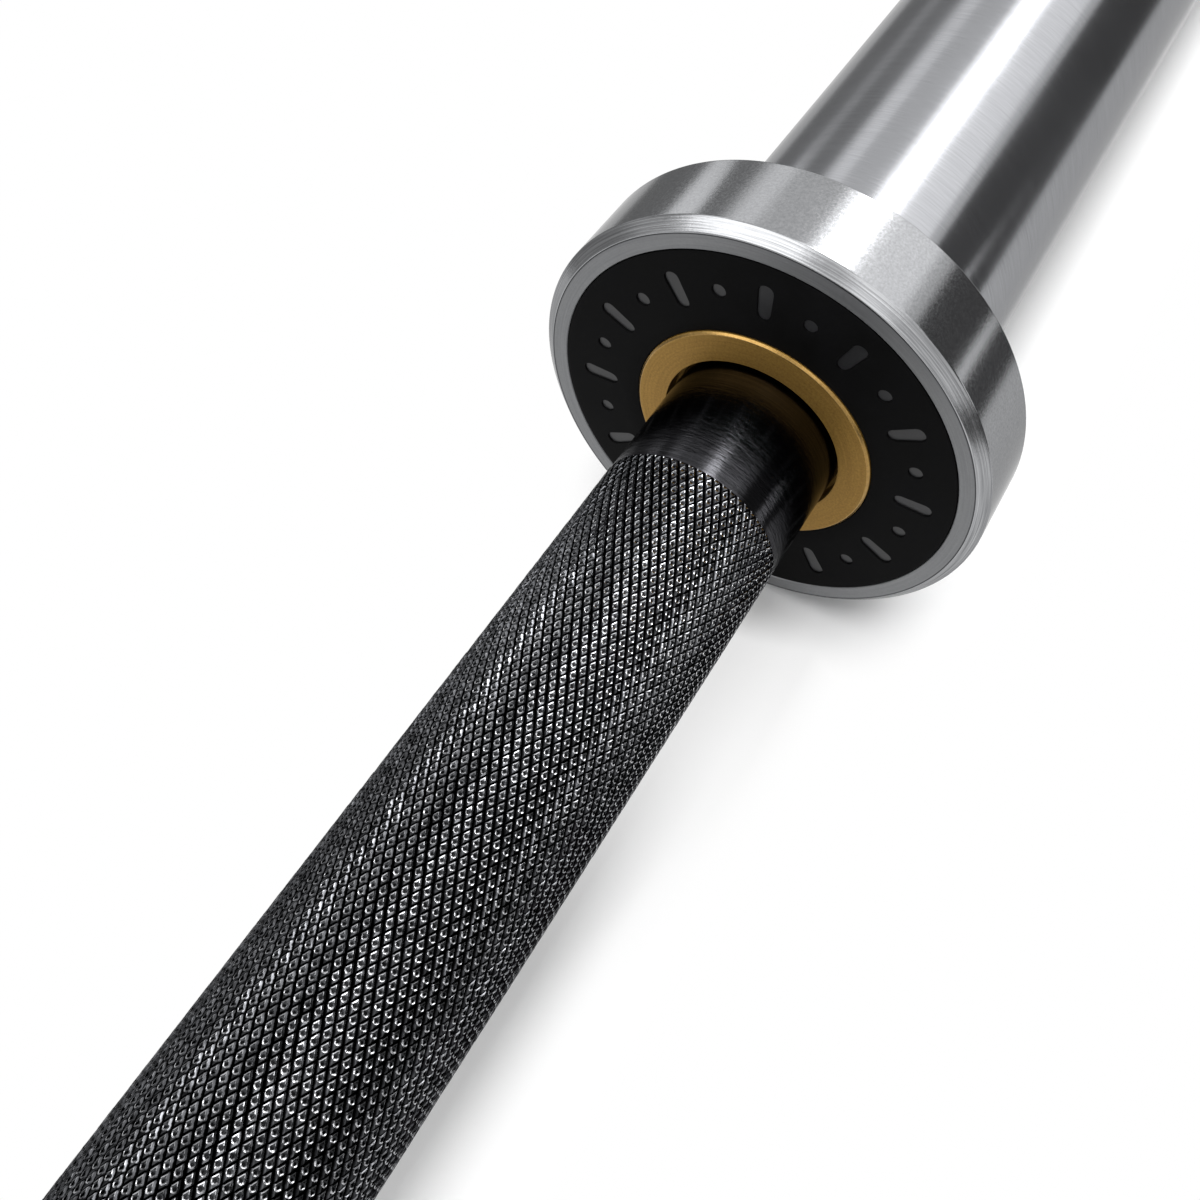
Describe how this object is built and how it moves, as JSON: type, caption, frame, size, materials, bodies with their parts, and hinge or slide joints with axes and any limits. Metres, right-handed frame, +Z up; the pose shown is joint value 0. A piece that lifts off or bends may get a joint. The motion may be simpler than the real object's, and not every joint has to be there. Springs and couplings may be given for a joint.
{
  "type": "olympic barbell",
  "caption": "Olympic barbell with a black knurled shaft and a free-spinning steel plate sleeve, with flanged bronze bushings, at each end.",
  "frame": {"origin": "middle of the bar, on its axis", "axes": "+X along the bar towards the right sleeve, +Z up, +Y horizontal across the bar"},
  "size_m": [2.2, 0.075, 0.075],
  "materials": {
    "shaft_black": "black oxide on ground and knurled steel",
    "sleeve_chrome": "turned and hard chrome plated",
    "collar_steel": "satin, with a bright turned bevel",
    "face_ring_black": "matte black",
    "bronze": "turned bearing bronze",
    "washer_steel": "ground",
    "spring_steel": "phosphated spring steel",
    "cap_black": "satin black"
  },
  "bodies": {
    "bar": {"shaft": "shaft_black", "left_inner_washer": "washer_steel", "left_outer_washer": "washer_steel", "left_snap_ring": "spring_steel", "left_lock_ring": "spring_steel", "right_inner_washer": "washer_steel", "right_outer_washer": "washer_steel", "right_snap_ring": "spring_steel", "right_lock_ring": "spring_steel"},
    "left_sleeve_assembly": {"left_sleeve": "sleeve_chrome", "left_collar": "collar_steel", "left_face_ring": "face_ring_black", "left_inner_bushing": "bronze", "left_outer_bushing": "bronze", "left_end_cap": "cap_black", "left_cap_ring": "spring_steel"},
    "right_sleeve_assembly": {"right_sleeve": "sleeve_chrome", "right_collar": "collar_steel", "right_face_ring": "face_ring_black", "right_inner_bushing": "bronze", "right_outer_bushing": "bronze", "right_end_cap": "cap_black", "right_cap_ring": "spring_steel"}
  },
  "joints": [
    {"name": "left_sleeve_spin", "type": "hinge", "parent": "bar", "child": "left_sleeve_assembly", "pos_m": [-0.88, 0, 0], "axis": [1, 0, 0], "continuous": true},
    {"name": "right_sleeve_spin", "type": "hinge", "parent": "bar", "child": "right_sleeve_assembly", "pos_m": [0.88, 0, 0], "axis": [1, 0, 0], "continuous": true}
  ]
}
